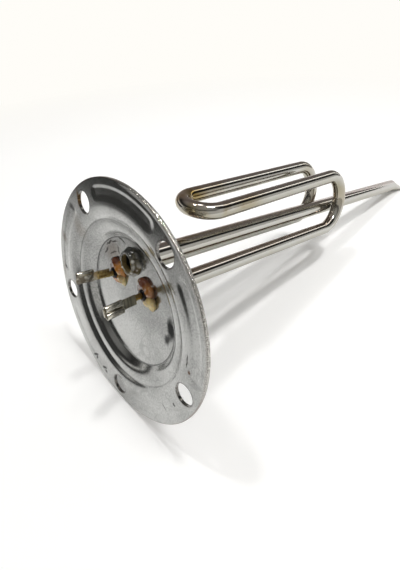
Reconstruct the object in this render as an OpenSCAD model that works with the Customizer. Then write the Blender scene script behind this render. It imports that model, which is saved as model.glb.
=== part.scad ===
// Flanged immersion heating element for a storage water heater.
// A pressed steel flange carries a folded tubular element, a closed pocket
// for the temperature sensor, and two push-on terminals.
// Origin: centre of the flange, on the terminal face of its flat rim.
// +Y runs along the tubes into the tank, +X to the right seen from the
// terminals, +Z from the flange centre towards the folded-back loop.

/* [Flange] */
// Outer diameter of the flange
flange_d = 115; // [100:0.5:130]
// Thickness of the pressed sheet
sheet_t = 1.5; // [1:0.1:2]
// From the centres of the fixing holes to the flange's edge
bolt_edge = 8; // [7:0.1:8.8]
// Diameter of each fixing hole
bolt_hole_d = 10; // [6:0.5:10.5]
// Number of fixing holes
bolt_count = 5; // [4:1:6]
// Width of the flat rim, from the edge in to the outer step
rim_w = 14.5; // [13.5:0.1:16]
// Width of the sloping outer step
outer_step_w = 2.8; // [2.2:0.1:4]
// Width of the flat middle ring
ring_w = 4; // [3.4:0.1:5]
// Width of the sloping inner step
inner_step_w = 4.6; // [3.8:0.1:6]
// Depth of the middle ring below the rim
ring_depth = 2.1; // [1.4:0.1:2.6]
// Depth of the centre disc below the rim
disc_depth = 6.6; // [5.6:0.1:7.6]
// Inside radius of every bend in the sheet
bend_r = 0.7; // [0.3:0.1:0.9]
// Chamfer on the terminal side of the flange edge
edge_break = 0.3; // [0.1:0.05:0.5]

/* [Stiffening beads between the fixing holes] */
// From the middle of a bead to the flange's edge
bead_edge = 6.5; // [5.5:0.1:7.5]
// Width of a bead at the sheet surface
bead_w = 6; // [4.5:0.25:6.5]
// Width of the flat floor of a bead
bead_floor_w = 3.4; // [2:0.2:4]
// Depth pressed into the sheet
bead_depth = 0.8; // [0.3:0.1:1]
// Sheet left flat between a fixing hole and a bead
bead_gap = 5.4; // [3:0.2:8]

/* [Heating element] */
// Outside diameter of the sheath tube
sheath_d = 8; // [7:0.1:9]
// Wall of the sheath tube
sheath_wall = 0.7; // [0.5:0.05:1]
// Distance between the two legs
leg_spacing = 22.4; // [20:0.2:26]
// How far the legs lie below the sensor pocket
leg_drop = 10.5; // [10.2:0.1:12]
// Where the legs end and the far bends start, from the rim face
leg_reach = 153; // [120:1:260]
// Centre-line radius of the two far bends
far_bend_r = 17.1; // [16:0.1:22]
// Lean of the folded-back loop to the left, in degrees
loop_lean = 10; // [0:0.5:15]
// How far the far bends turn past a half turn, in degrees
over_bend = 3; // [0:0.25:4]
// Where the near bend starts, from the rim face
near_bend_y = 52.7; // [45:0.5:80]
// How far the sheath ends stand proud of the centre disc
sheath_proud = 1.4; // [0.8:0.1:1.8]
// Diameter of the wound resistance wire
coil_d = 3.4; // [3:0.1:4]
// Where the cold pins end and the coil starts, from the rim face
coil_start = 70; // [50:1:110]

/* [Sensor pocket] */
// Outside diameter of the pocket tube
pocket_d = 9.5; // [9:0.1:10]
// Wall of the pocket tube
pocket_wall = 0.75; // [0.5:0.05:1]
// From the middle of the pocket to the edge of the centre disc
pocket_edge = 9.7; // [8:0.1:11]
// Far end of the pocket, from the rim face
pocket_reach = 303.2; // [200:0.2:400]
// How far the mouth stands proud of the centre disc
pocket_proud = 3; // [2:0.1:4]
// Length of the pinched end
pinch_len = 19; // [12:0.5:30]
// Width of the pinched end
pinch_w = 13; // [11:0.25:14]
// Thickness of the pinched end
pinch_t = 2.4; // [1.6:0.1:3]
// Height of the weld bead that closes the pinched end
weld_rise = 0.8; // [0.4:0.1:1]
// Diameter of the brazed collar at the disc
collar_d = 13.8; // [12:0.1:14]

/* [Terminals] */
// Diameter of the terminal pins
pin_d = 2.6; // [2:0.1:3]
// Diameter of the insulating bush outside the sheath
bush_d = 5.4; // [4.4:0.1:6]
// How far the bushes stand above the centre disc
bush_rise = 3.2; // [3:0.1:4]
// Length of the bush inside the sheath
bush_plug = 7; // [4:0.5:12]
// Diameter of the resin seal at the disc
seal_d = 12.4; // [11:0.1:13]
// Height of the resin seal above the disc
seal_rise = 2.4; // [2:0.1:2.4]
// Radius of the resin run beside each seal
run_r = 3.4; // [2.6:0.1:4]
// Length of a receptacle from its neck to its mouth
blade_len = 7.8; // [6.6:0.1:10]
// Diameter of each rolled edge of a receptacle
roll_d = 2.3; // [1.9:0.1:2.6]
// Width across both rolled edges
blade_w = 6; // [5.4:0.1:7]
// Thickness of the receptacle's sheet
blade_t = 0.4; // [0.3:0.05:0.6]
// Room for a mating blade under the rolled edges
blade_slot = 0.8; // [0.6:0.05:0.9]
// Lip that the back leaves in front of the rolled edges
blade_lip = 0.6; // [0.2:0.1:1.2]
// Width of the flat stem that is welded to the pin
stem_w = 4.4; // [3.4:0.1:5]
// Length of the flat stem
stem_len = 6.2; // [4:0.1:8]
// Depth of the flat on the pin under the stem
pin_flat = 0.3; // [0.1:0.05:0.5]
// Tilt of the left terminal from its bush, in degrees
left_tilt = 4; // [2:0.5:14]
// Which way the left terminal tilts, in degrees from +X
left_tilt_towards = 159; // [90:1:180]
// Turn of the left receptacle about its length, in degrees
left_roll = 180; // [0:1:359]
// Bare pin between the left bush and its stem
left_bare = 0.8; // [0.6:0.1:5]
// Tilt of the right terminal from its bush, in degrees
right_tilt = 4; // [2:0.5:14]
// Which way the right terminal tilts, in degrees from +X
right_tilt_towards = -22; // [-90:1:90]
// Turn of the right receptacle about its length, in degrees
right_roll = 18; // [0:1:359]
// Bare pin between the right bush and its stem
right_bare = 3.3; // [0.6:0.1:5]

/* [Brazing on the tank side] */
// Width of each brazed fillet
braze_w = 1.8; // [1:0.1:2.4]

/* [Hidden] */
$fn = 64;
LEFT = -1;
RIGHT = 1;
// Longer than any cut that it makes, and how far a cut runs past a face
through = 40;
past = 1;
bead_past = 0.2;
// A bent run is drawn this much fatter than the straight runs, whose ends
// reach this far into it, so that one solid results
bend_swell = 0.01;
bend_seat = 0.2;
// Segments in each bend of the flange's section
bend_steps = 4;
rim_step_d = flange_d - 2 * rim_w;
ring_outer_d = rim_step_d - 2 * outer_step_w;
ring_inner_d = ring_outer_d - 2 * ring_w;
disc_d = ring_inner_d - 2 * inner_step_w;
bolt_circle_d = flange_d - 2 * bolt_edge;
bead_circle_d = flange_d - 2 * bead_edge;
pocket_height = disc_d / 2 - pocket_edge;
leg_height = pocket_height - leg_drop;
bore_r = sheath_d / 2 - sheath_wall;
disc_back = disc_depth + sheet_t;
bolt_start_angle = 90 + 180 / bolt_count;
// Half of the angle that a bead spans, to the centres of its round ends
bead_half_angle = 180 / bolt_count
    - 2 * asin((bolt_hole_d + 2 * bead_gap + bead_w) / 2 / bead_circle_d);
// The loop's near bend lies square to the returning legs, which the lean
// and the over-bend turn by a small angle from the X axis
skew = sin(loop_lean) * sin(over_bend);
near_bend_r = leg_spacing * sqrt(1 - skew * skew) / 2;
near_bend_turn = atan2(-cos(loop_lean), -sin(loop_lean) * cos(over_bend));
return_len_left = (leg_reach - far_bend_r * sin(over_bend) - near_bend_y)
    / cos(over_bend);
// Each terminal pin is bent a little just outside its bush
pin_bend_r = 4;
function tilt(side) = side == LEFT ? left_tilt : right_tilt;
function tilt_towards(side) =
    side == LEFT ? left_tilt_towards : right_tilt_towards;
function roll(side) = side == LEFT ? left_roll : right_roll;
function stem_start(side) = side == LEFT ? left_bare : right_bare;
// The bushes taper at their mouths
bush_tip = 0.7;
bush_tip_d = 3.6;
// Middle of each resin run, from its terminal, right and down
left_run_right = 4.4;
left_run_down = 3.4;
right_run_right = 4.2;
right_run_down = 3.8;
run_rise = 1.3;
// Solid end of the pocket's bore, and where the pinch joins the round tube
pocket_end_wall = 1;
pinch_seat = 0.5;
// Extra length of a receptacle's neck, and the narrow edge of the collar
neck_extra = 0.4;
collar_rim = 0.25;
// Colours as the photograph shows them
STEEL = "#a9a9a7";
POLISHED = "#c9c4ba";
POWDER = "#e8e4d8";
WIRE = "#8a8f94";
BRASS = "#8b7748";
BUSH = "#16110f";
RESIN = "#8c4a1c";
RUN = "#c2a56c";
TIN = "#b5b0a2";
OXIDE = "#4b4a3c";
BRAZE = "#8f8a74";

// The face frame: X right, Y up the flange, Z out towards the terminals
module on_face() {
    rotate([90, 0, 0]) children();
}

// The centre disc at a leg or at the pocket, in the face frame
module on_disc(x, y) {
    on_face() translate([x, y, -disc_depth]) children();
}

// A straight round bar along +Y from y0 to y1
module bar_y(r, y0, y1) {
    translate([0, y0, 0]) rotate([-90, 0, 0]) cylinder(r = r, h = y1 - y0);
}

function side_x(side) = side * leg_spacing / 2;

// Unit normal to the left of a section line that runs at angle a
function left_of(a) = [-sin(a), cos(a)];

// Points of one rounded bend in the sheet's section, at vertex v, from
// direction a0 to a1. side_off is 0 on the terminal face and -sheet_t on
// the tank face.
function bend(v, a0, a1, side_off) =
    let (s = sign(a1 - a0),
         r_face = bend_r + (s < 0 ? sheet_t : 0),
         c = v + s * r_face / cos((a1 - a0) / 2) * left_of((a0 + a1) / 2))
    [for (i = [0:bend_steps])
        let (a = a0 + (a1 - a0) * i / bend_steps)
        c - s * (r_face - s * side_off) * left_of(a)];

// One face of the flange's section from the disc out to the last bend
function face_line(side_off) =
    let (inner_slope = atan2(disc_depth - ring_depth,
                             (ring_inner_d - disc_d) / 2),
         outer_slope = atan2(ring_depth, (rim_step_d - ring_outer_d) / 2))
    concat(bend([disc_d / 2, -disc_depth], 0, inner_slope, side_off),
           bend([ring_inner_d / 2, -ring_depth], inner_slope, 0, side_off),
           bend([ring_outer_d / 2, -ring_depth], 0, outer_slope, side_off),
           bend([rim_step_d / 2, 0], outer_slope, 0, side_off));

function reversed(list) = [for (i = [len(list) - 1:-1:0]) list[i]];

// The pressed sheet as one solid of revolution
module pressed_sheet() {
    rotate_extrude($fn = 96)
        polygon(concat([[0, -disc_depth]],
                       face_line(0),
                       [[flange_d / 2 - edge_break, 0],
                        [flange_d / 2, -edge_break],
                        [flange_d / 2, -sheet_t]],
                       reversed(face_line(-sheet_t)),
                       [[0, -disc_back]]));
}

// One bead between two fixing holes, as the solid that the press pushes
// down: a bent bar of tapered section with round ends, whose walls run on
// past the face that they start from
module bead_form(angle) {
    top_w = bead_w + (bead_w - bead_floor_w) * bead_past / bead_depth;
    rotate([0, 0, angle - bead_half_angle]) {
        rotate_extrude(angle = 2 * bead_half_angle, $fn = 96)
            translate([bead_circle_d / 2, 0])
                polygon([[-top_w / 2, bead_past],
                         [-bead_floor_w / 2, -bead_depth],
                         [bead_floor_w / 2, -bead_depth],
                         [top_w / 2, bead_past]]);
        for (end = [0, 1])
            rotate([0, 0, end * 2 * bead_half_angle])
                translate([bead_circle_d / 2, 0])
                    rotate([0, 0, 180 * (1 - end)])
                        rotate_extrude(angle = 180)
                            polygon([[0, bead_past], [0, -bead_depth],
                                     [bead_floor_w / 2, -bead_depth],
                                     [top_w / 2, bead_past]]);
    }
}

module flange() {
    color(STEEL) on_face() difference() {
        union() {
            pressed_sheet();
            for (i = [0:bolt_count - 1])
                translate([0, 0, -sheet_t])
                    bead_form(bolt_start_angle + (i + 0.5) * 360 / bolt_count);
        }
        for (i = [0:bolt_count - 1])
            bead_form(bolt_start_angle + (i + 0.5) * 360 / bolt_count);
        for (i = [0:bolt_count - 1])
            rotate([0, 0, bolt_start_angle + i * 360 / bolt_count])
                translate([bolt_circle_d / 2, 0, -through / 2])
                    cylinder(d = bolt_hole_d, h = through);
        for (side = [LEFT, RIGHT])
            translate([side_x(side), leg_height, -through / 2])
                cylinder(d = sheath_d, h = through);
        translate([0, pocket_height, -through / 2])
            cylinder(d = pocket_d, h = through);
    }
}

// A round bar of radius r bent to radius bend_radius, from +X through angle
module bent_bar(r, bend_radius, angle) {
    rotate_extrude(angle = angle)
        translate([bend_radius, 0]) circle(r = r + bend_swell);
}

// Moves children to the plane of a far bend: X points away from the loop,
// Y into the tank, with the bend's centre at the origin
module far_bend_plane(side) {
    translate([side_x(side), leg_reach, leg_height])
        rotate([0, -loop_lean, 0])
            translate([0, 0, far_bend_r])
                rotate([0, 90, 0]) children();
}

// Moves children to the start of a returning leg, with Z along the leg
module on_return(side) {
    far_bend_plane(side)
        rotate([0, 0, 180 + over_bend])
            translate([far_bend_r, 0, 0])
                rotate([-90, 0, 0]) children();
}

function return_len(side) =
    side == LEFT ? return_len_left : return_len_left - leg_spacing * skew;

// The whole bent line of the element as a solid round bar of radius r,
// from y0 on the left leg round to y0 on the right leg
module element_line(r, y0) {
    for (side = [LEFT, RIGHT]) {
        translate([side_x(side), 0, leg_height])
            bar_y(r, y0, leg_reach + bend_seat);
        far_bend_plane(side) bent_bar(r, far_bend_r, 180 + over_bend);
        on_return(side)
            translate([0, 0, -bend_seat])
                cylinder(r = r, h = return_len(side) + 2 * bend_seat);
    }
    on_return(LEFT)
        translate([0, 0, return_len_left])
            rotate([0, 0, near_bend_turn])
                translate([near_bend_r, 0, 0])
                    rotate([90, 0, 180]) bent_bar(r, near_bend_r, 180);
}

sheath_start = disc_depth - sheath_proud;
powder_start = sheath_start + bush_plug;

module heater_sheath() {
    color(POLISHED) difference() {
        element_line(sheath_d / 2, sheath_start);
        element_line(bore_r, sheath_start - past);
    }
}

module insulating_powder() {
    color(POWDER) difference() {
        element_line(bore_r, powder_start);
        element_line(coil_d / 2, coil_start);
        for (side = [LEFT, RIGHT])
            translate([side_x(side), 0, leg_height])
                bar_y(pin_d / 2, powder_start - past, coil_start + past);
    }
}

// The wound wire fills this outline from pin to pin
module resistance_coil() {
    color(WIRE) element_line(coil_d / 2, coil_start);
}

// Puts children past the bend of a terminal pin: Z runs out along the
// terminal and X points to the rolled edges
module on_terminal(side) {
    on_disc(side_x(side), leg_height)
        translate([0, 0, bush_rise])
            rotate([0, 0, tilt_towards(side)])
                translate([pin_bend_r * (1 - cos(tilt(side))), 0,
                           pin_bend_r * sin(tilt(side))])
                    rotate([0, tilt(side), 0])
                        rotate([0, 0, roll(side) - tilt_towards(side)])
                            children();
}

// The short bend of a terminal pin, from the mouth of its bush
module pin_bend(side) {
    on_disc(side_x(side), leg_height)
        translate([0, 0, bush_rise])
            rotate([0, 0, tilt_towards(side)])
                translate([pin_bend_r, 0, 0])
                    rotate([90, 0, 180])
                        bent_bar(pin_d / 2, pin_bend_r, tilt(side));
}

flat_x = pin_d / 2 - pin_flat;
neck_len = (blade_w - stem_w) / 2 + neck_extra;
roll_y = (blade_w - roll_d) / 2;
back_len = stem_len + neck_len + blade_len + blade_lip;

module terminal_pin(side) {
    color(BRASS) {
        translate([side_x(side), 0, leg_height])
            bar_y(pin_d / 2, disc_depth - bush_rise - bend_seat, coil_start);
        pin_bend(side);
        on_terminal(side) difference() {
            translate([0, 0, -bend_seat])
                cylinder(d = pin_d, h = stem_start(side) + stem_len + bend_seat);
            translate([flat_x, -pin_d, stem_start(side)])
                cube([pin_d, 2 * pin_d, stem_len + past]);
        }
    }
}

module insulating_bush(side) {
    color(BUSH) on_disc(side_x(side), leg_height) difference() {
        union() {
            translate([0, 0, sheath_proud - bush_plug])
                cylinder(r = bore_r, h = bush_plug);
            cylinder(d = bush_d, h = bush_rise - bush_tip);
            translate([0, 0, bush_rise - bush_tip])
                cylinder(d1 = bush_d, d2 = bush_tip_d, h = bush_tip);
        }
        translate([0, 0, -bush_plug]) cylinder(d = pin_d, h = through);
    }
}

// The domed ring of a seal, solid through its middle
module seal_dome() {
    rotate_extrude()
        polygon(concat([[0, 0]],
            [for (a = [0:15:90])
                [bush_d / 2 + (seal_d - bush_d) / 2 * cos(a),
                 seal_rise * sin(a)]],
            [[0, seal_rise]]));
}

module resin_seal(side) {
    color(RESIN) on_disc(side_x(side), leg_height) difference() {
        seal_dome();
        translate([0, 0, -past])
            cylinder(d = sheath_d, h = past + sheath_proud);
        cylinder(d = bush_d, h = through);
    }
}

// Resin that ran down the disc from the seal, as a low cap against the dome
module resin_run(side) {
    // A cap of base radius run_r and height run_rise
    ball_r = (run_r * run_r + run_rise * run_rise) / (2 * run_rise);
    right = side == LEFT ? left_run_right : right_run_right;
    down = side == LEFT ? left_run_down : right_run_down;
    color(RUN) on_disc(side_x(side), leg_height) difference() {
        intersection() {
            translate([right, -down, run_rise - ball_r])
                sphere(r = ball_r, $fn = 96);
            cylinder(r = seal_d, h = seal_rise);
        }
        seal_dome();
    }
}

// Section of the receptacle across its length: a flat back at flat_x and
// two edges rolled over the room for the blade
module blade_section() {
    roll_x = flat_x + roll_d / 2;
    translate([flat_x, -roll_y]) square([blade_t, 2 * roll_y]);
    for (s = [-1, 1])
        difference() {
            translate([roll_x, s * roll_y]) circle(d = roll_d, $fn = 32);
            translate([roll_x, s * roll_y])
                circle(d = roll_d - 2 * blade_t, $fn = 32);
            translate([flat_x + blade_t, s > 0 ? roll_y - roll_d : -roll_y])
                square([blade_slot, roll_d]);
        }
}

module blade_receptacle(side) {
    color(TIN) on_terminal(side) translate([0, 0, stem_start(side)]) {
        translate([0, 0, stem_len + neck_len])
            linear_extrude(height = blade_len) blade_section();
        // Back plate in one piece: stem, neck and lip
        translate([flat_x, 0, 0]) rotate([90, 0, 90])
            linear_extrude(height = blade_t)
                polygon([[-stem_w / 2, 0], [stem_w / 2, 0],
                         [stem_w / 2, stem_len], [roll_y, stem_len + neck_len],
                         [roll_y, back_len], [-roll_y, back_len],
                         [-roll_y, stem_len + neck_len],
                         [-stem_w / 2, stem_len]]);
    }
}

module sensor_pocket() {
    mouth_y = disc_depth - pocket_proud;
    pinch_y = pocket_reach - pinch_len;
    color(POLISHED) translate([0, 0, pocket_height]) difference() {
        union() {
            bar_y(pocket_d / 2, mouth_y, pinch_y);
            // The end is pressed flat against the underside of the tube
            hull() {
                bar_y(pocket_d / 2, pinch_y - pinch_seat, pinch_y, $fn = 32);
                for (s = [-1, 1])
                    translate([s * (pinch_w - pinch_t) / 2, 0,
                               (pinch_t - pocket_d) / 2])
                        bar_y(pinch_t / 2, pocket_reach - pinch_t,
                              pocket_reach, $fn = 32);
            }
        }
        bar_y(pocket_d / 2 - pocket_wall, mouth_y - past,
              pinch_y - pocket_end_wall);
    }
}

// Bead of weld along the pinched end, as wide as the end is thick
module pocket_end_weld() {
    weld_r = (weld_rise * weld_rise + pinch_t * pinch_t / 4) / (2 * weld_rise);
    weld_len = pinch_w - pinch_t;
    color(POLISHED)
        translate([0, pocket_reach, pocket_height + (pinch_t - pocket_d) / 2])
            difference() {
                translate([-weld_len / 2, weld_rise - weld_r, 0])
                    rotate([0, 90, 0]) cylinder(r = weld_r, h = weld_len);
                translate([-through / 2, -2 * weld_r, -weld_r - past])
                    cube([through, 2 * weld_r, 2 * (weld_r + past)]);
            }
}

// Glassy brazing round the pocket's mouth, from the disc up to the mouth
module pocket_collar() {
    color(OXIDE) on_disc(0, pocket_height) rotate_extrude()
        polygon([[pocket_d / 2, 0], [collar_d / 2, 0],
                 [collar_d / 2 - collar_rim, collar_rim * 2],
                 [pocket_d / 2 + collar_rim, pocket_proud - collar_rim],
                 [pocket_d / 2, pocket_proud - collar_rim]]);
}

// Fillet of brazing round a tube of diameter d where it leaves the disc
module braze_fillet(x, z, d) {
    color(BRAZE) on_face() translate([x, z, -disc_back]) rotate_extrude()
        polygon([[d / 2, 0], [d / 2 + braze_w, 0],
                 for (a = [15:15:75])
                     [d / 2 + braze_w * (1 - sin(a)),
                      -braze_w * (1 - cos(a))],
                 [d / 2, -braze_w]]);
}

flange();
heater_sheath();
insulating_powder();
resistance_coil();
terminal_pin(LEFT);  // terminal_pin_left
terminal_pin(RIGHT);  // terminal_pin_right
insulating_bush(LEFT);  // insulating_bush_left
insulating_bush(RIGHT);  // insulating_bush_right
resin_seal(LEFT);  // resin_seal_left
resin_seal(RIGHT);  // resin_seal_right
resin_run(LEFT);  // resin_run_left
resin_run(RIGHT);  // resin_run_right
blade_receptacle(LEFT);  // blade_receptacle_left
blade_receptacle(RIGHT);  // blade_receptacle_right
sensor_pocket();
pocket_end_weld();
pocket_collar();
braze_fillet(side_x(LEFT), leg_height, sheath_d);  // braze_leg_left
braze_fillet(side_x(RIGHT), leg_height, sheath_d);  // braze_leg_right
braze_fillet(0, pocket_height, pocket_d);  // braze_pocket
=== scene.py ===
"""Dressed model of a flanged immersion heater for a storage tank.

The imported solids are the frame.  The formed, poured and brazed pieces are
modelled over them here, and every surface gets the finish of the real one.
"""

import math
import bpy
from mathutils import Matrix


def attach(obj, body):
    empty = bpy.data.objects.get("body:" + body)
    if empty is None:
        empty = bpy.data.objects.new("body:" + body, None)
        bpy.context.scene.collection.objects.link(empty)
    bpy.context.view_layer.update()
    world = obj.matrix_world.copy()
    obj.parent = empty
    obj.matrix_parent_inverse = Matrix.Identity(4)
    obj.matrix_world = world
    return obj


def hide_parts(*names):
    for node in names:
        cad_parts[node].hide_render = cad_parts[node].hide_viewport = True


bl_info = {
    "name": "Tank Heater Element",
    "version": (1, 0, 0),
    "blender": (4, 5, 0),
    "location": "View3D > Sidebar > Heater",
    "description": "Dresses a flanged immersion heater, piece by piece",
    "category": "Object",
}

import bmesh
import bpy
from mathutils import Matrix, Vector

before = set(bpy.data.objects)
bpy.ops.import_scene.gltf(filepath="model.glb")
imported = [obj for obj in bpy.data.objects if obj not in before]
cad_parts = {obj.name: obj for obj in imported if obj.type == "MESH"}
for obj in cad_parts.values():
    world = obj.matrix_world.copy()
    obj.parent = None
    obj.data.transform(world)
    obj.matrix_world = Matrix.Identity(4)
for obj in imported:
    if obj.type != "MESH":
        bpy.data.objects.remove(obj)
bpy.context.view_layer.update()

MM = 0.001
LEFT, RIGHT = -1, 1
SIDES = {LEFT: "left", RIGHT: "right"}

# The part lies on the bottom of its rim and on the tip of the pocket
FLOOR_POINT = Vector((0, 1.5, -57.5)) * MM
FLOOR_NORMAL = Vector((0, -0.2467, 0.9691)).normalized()
FLOOR_ACROSS = Vector((1, 0, 0))
FLOOR_ALONG = FLOOR_NORMAL.cross(FLOOR_ACROSS)


# ------------------------------------------------------------ small helpers


def linear(hex_colour):
    """An sRGB hex colour as linear RGBA."""
    digits = hex_colour.lstrip("#")
    out = []
    for i in (0, 2, 4):
        c = int(digits[i : i + 2], 16) / 255
        out.append(c / 12.92 if c <= 0.04045 else ((c + 0.055) / 1.055) ** 2.4)
    return (*out, 1.0)


def add(tree, kind, inputs=(), out=0, **settings):
    """Adds a node with its settings, and fills or links its inputs.

    inputs maps a socket's name or number to a value or to another node's
    output.  What comes back is the output that out names.
    """
    node = tree.nodes.new("ShaderNode" + kind)
    for name, value in settings.items():
        setattr(node, name, value)
    for name, value in dict(inputs).items():
        socket = node.inputs[name]
        if isinstance(value, bpy.types.NodeSocket):
            tree.links.new(value, socket)
        else:
            socket.default_value = value
    return node.outputs[out] if node.outputs else node


# Settings of a Mix node that mixes colours, for add
IN_COLOUR = {"out": 2, "data_type": "RGBA"}


def new_material(name):
    """An empty node material, and its object coordinates in metres."""
    material = bpy.data.materials.new(name)
    material.use_nodes = True
    tree = material.node_tree
    tree.nodes.clear()
    return material, tree, add(tree, "TexCoord", out="Object")


def surface(tree, inputs):
    """Closes a material's tree with its shader and output."""
    shader = add(tree, "BsdfPrincipled", inputs)
    add(tree, "OutputMaterial", {"Surface": shader})


def dress(node_name, material):
    """Gives a carried-over solid its finish."""
    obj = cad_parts[node_name]
    obj.data.materials.clear()
    obj.data.materials.append(material)


def begin(name, primitive, **settings):
    """Adds a primitive with nothing else selected, and opens it."""
    bpy.ops.object.select_all(action="DESELECT")
    primitive(**settings)
    bpy.ops.object.transform_apply(location=True, rotation=True, scale=True)
    obj = bpy.context.object
    obj.name = obj.data.name = name
    bpy.ops.object.mode_set(mode="EDIT")
    return obj


def ring(name, vertices, radius, location, fill_type="NOTHING"):
    """Opens a new circle that faces along Y."""
    return begin(
        name,
        bpy.ops.mesh.primitive_circle_add,
        vertices=vertices,
        radius=radius,
        location=location,
        rotation=(math.pi / 2, 0, 0),
        fill_type=fill_type,
    )


def pick(kind, test):
    """Selects just what passes the test in the mesh being edited."""
    bpy.ops.mesh.select_mode(type=kind)
    bpy.ops.mesh.select_all(action="DESELECT")
    data = bpy.context.edit_object.data
    mesh = bmesh.from_edit_mesh(data)
    lists = {"VERT": mesh.verts, "EDGE": mesh.edges, "FACE": mesh.faces}
    for part in lists[kind]:
        if test(part):
            part.select_set(True)
    mesh.select_flush_mode()
    bmesh.update_edit_mesh(data)


def push(offset, scale=None, about=None):
    """Extrudes the selection by an offset, and may scale its new end."""
    bpy.ops.mesh.extrude_region_move(TRANSFORM_OT_translate={"value": offset})
    if scale:
        bpy.ops.transform.resize(value=scale, center_override=about)


def turn(centre, axis, profile):
    """Extrudes the selected ring through (radius, height) steps in mm."""
    for (r0, h0), (r1, h1) in zip(profile, profile[1:]):
        scale = (r1 / r0,) * 3
        push(axis * ((h1 - h0) * MM), scale, centre + axis * (h1 * MM))


def close_mesh():
    """Merges doubles, points the faces outwards and ends the editing."""
    bpy.ops.mesh.select_all(action="SELECT")
    bpy.ops.mesh.remove_doubles(threshold=0.002 * MM)
    bpy.ops.mesh.normals_make_consistent(inside=False)
    bpy.ops.object.mode_set(mode="OBJECT")


def modify(obj, kind, **settings):
    """Adds a modifier with its settings and applies it."""
    if bpy.context.mode != "OBJECT":
        bpy.ops.object.mode_set(mode="OBJECT")
    bpy.ops.object.select_all(action="DESELECT")
    obj.select_set(True)
    bpy.context.view_layer.objects.active = obj
    modifier = obj.modifiers.new(kind.lower(), kind)
    for name, value in settings.items():
        setattr(modifier, name, value)
    bpy.ops.object.modifier_apply(modifier=modifier.name)


def cut(obj, cutter):
    """Takes the cutter out of the piece."""
    modify(obj, "BOOLEAN", object=cutter, operation="DIFFERENCE", solver="EXACT")
    bpy.data.objects.remove(cutter)


def done(obj, material, slot, *nodes, sharp=35):
    """Shades a finished piece and ties it to the frame."""
    if bpy.context.mode != "OBJECT":
        bpy.ops.object.mode_set(mode="OBJECT")
    bpy.ops.object.select_all(action="DESELECT")
    obj.select_set(True)
    bpy.context.view_layer.objects.active = obj
    bpy.ops.object.transform_apply(location=True, rotation=True, scale=True)
    bpy.ops.object.shade_smooth_by_angle(angle=math.radians(sharp))
    obj.data.materials.clear()
    obj.data.materials.append(material)
    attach(obj, "root")
    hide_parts(*nodes)


def lumps(obj, height_mm, size_mm):
    """Makes the surface gently uneven, as something poured or fired is."""
    texture = bpy.data.textures.new(obj.name + "_lumps", "CLOUDS")
    texture.noise_scale = size_mm * MM
    texture.noise_depth = 1
    modify(
        obj,
        "DISPLACE",
        texture=texture,
        strength=height_mm * MM,
        mid_level=0.5,
        texture_coords="LOCAL",
    )


# ---------------------------------------------------------------- settings


def colour_setting(name, description, hex_colour):
    return bpy.props.FloatVectorProperty(
        name=name,
        description=description,
        subtype="COLOR",
        size=4,
        min=0,
        max=1,
        default=linear(hex_colour),
    )


class HeaterColours(bpy.types.PropertyGroup):
    """Colours of the finishes."""

    sheet: colour_setting(
        "Pressed sheet", "Bare stainless sheet of the flange", "#c6c7c5"
    )
    tube: colour_setting(
        "Tubes", "Bright drawn tube of the sheath and the pocket", "#c9c8c4"
    )
    heat_tint: colour_setting(
        "Heat tint", "Straw colour where the tubes were annealed for bending", "#a08a55"
    )
    resin: colour_setting(
        "Amber resin", "Cured resin round the ends of the sheath", "#c98434"
    )
    run: colour_setting(
        "Cream resin", "Filled resin that ran down beside the seals", "#f4dfa2"
    )
    plate: colour_setting(
        "Plated sheet", "Tin plating of the push-on receptacles", "#e2ded2"
    )


class HeaterSizes(bpy.types.PropertyGroup):
    """Sizes that the pressing, pouring and brazing leave open."""

    bead_depth: bpy.props.FloatProperty(
        name="Bead depth",
        description="How deep the five stiffening beads are pressed",
        unit="LENGTH",
        min=0.0001,
        max=0.0008,
        default=0.33 * MM,
    )
    resin_lumps: bpy.props.FloatProperty(
        name="Resin lumps",
        description="How uneven the poured resin is",
        unit="LENGTH",
        min=0,
        max=0.0006,
        default=0.35 * MM,
    )
    glass_lumps: bpy.props.FloatProperty(
        name="Glass lumps",
        description="How uneven the glassy collar is",
        unit="LENGTH",
        min=0,
        max=0.001,
        default=0.7 * MM,
    )
    fillet: bpy.props.FloatProperty(
        name="Braze fillet",
        description="Size of the brazing behind the disc",
        unit="LENGTH",
        min=0.001,
        max=0.002,
        default=1.8 * MM,
    )


class HeaterWear(bpy.types.PropertyGroup):
    """How worn and stained the part is."""

    stains: bpy.props.FloatProperty(
        name="Stains",
        description="How strongly smudges, rust and scratches show",
        subtype="FACTOR",
        min=0,
        max=1,
        default=1,
    )


# ---------------------------------------------------------------- finishes


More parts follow.
